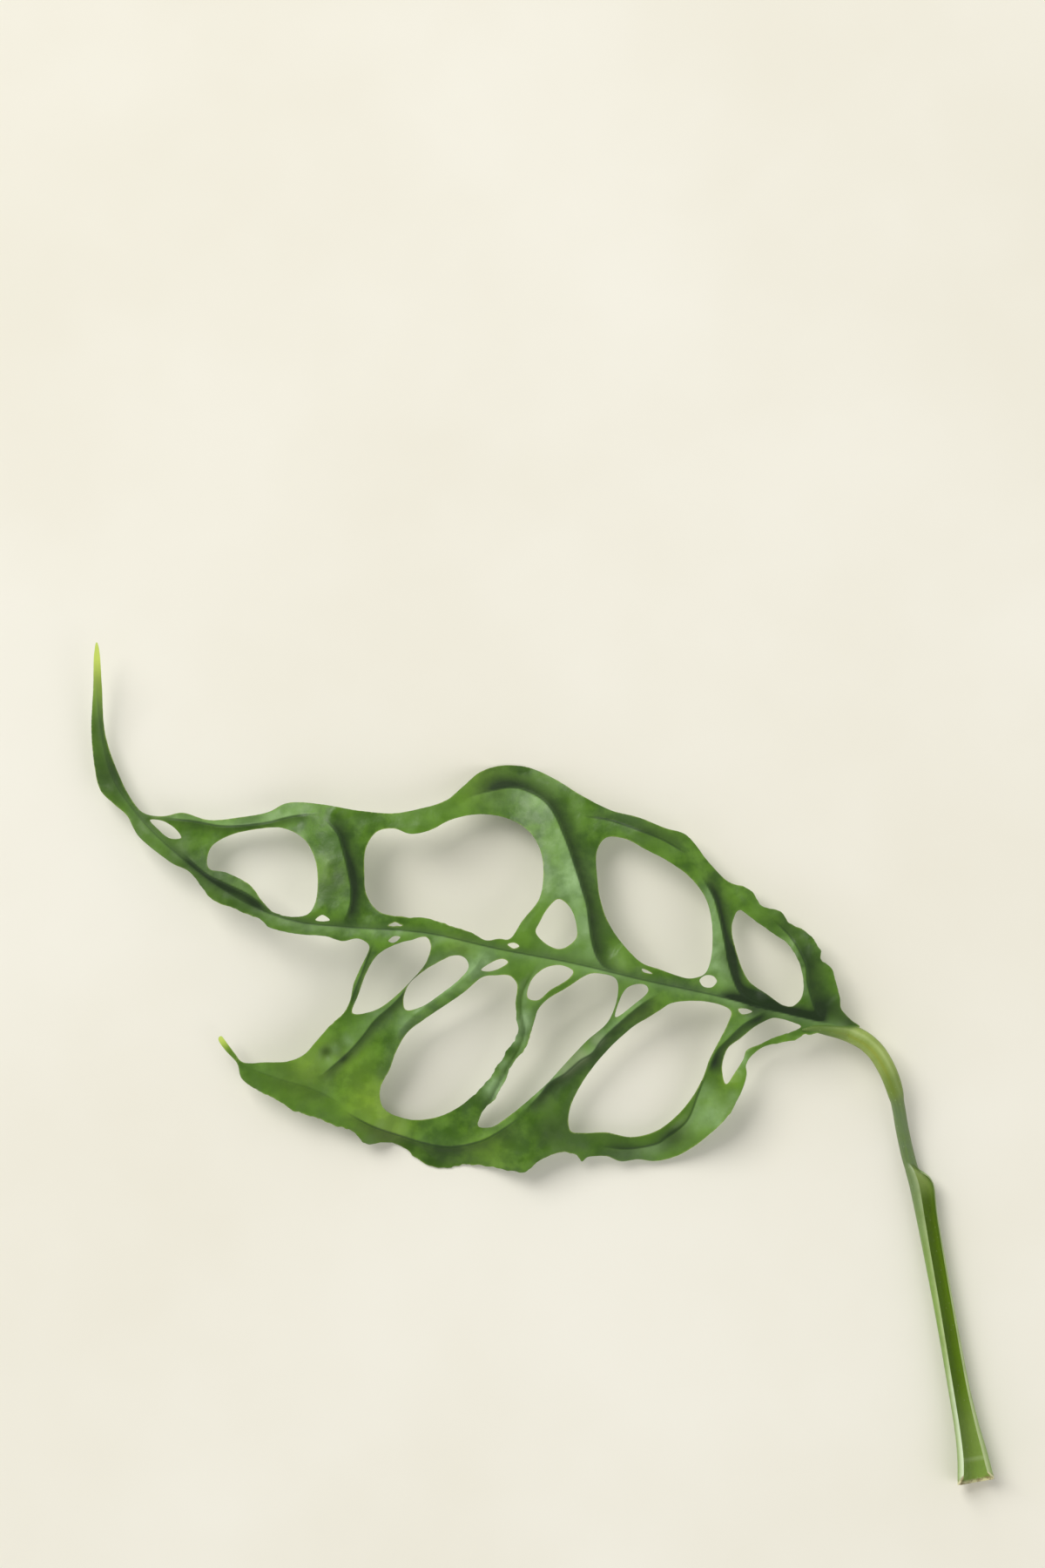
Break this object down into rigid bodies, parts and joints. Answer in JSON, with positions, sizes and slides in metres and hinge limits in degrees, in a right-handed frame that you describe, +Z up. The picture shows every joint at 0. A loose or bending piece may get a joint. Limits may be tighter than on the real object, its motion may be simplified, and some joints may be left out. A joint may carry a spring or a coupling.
{
  "type": "monstera leaf",
  "caption": "One picked monstera leaf with many natural holes in its glossy green blade, a long drip tip and its whole stalk with an open sheath at the foot, lying upper face up.",
  "frame": {"origin": "under the middle of the leaf's box, on the surface that it lies on", "axes": "+Z up, out of the blade's upper face; +X from the blade's tip side towards the stalk's cut foot; +Y from the stalk's foot towards the drip tip"},
  "size_m": [0.1858, 0.1734, 0.014],
  "materials": {
    "blade_green": "glossy, waxy",
    "stalk_green": "satin"
  },
  "bodies": {
    "root": {"leaf_blade": "blade_green", "petiole": "stalk_green"}
  },
  "joints": []
}
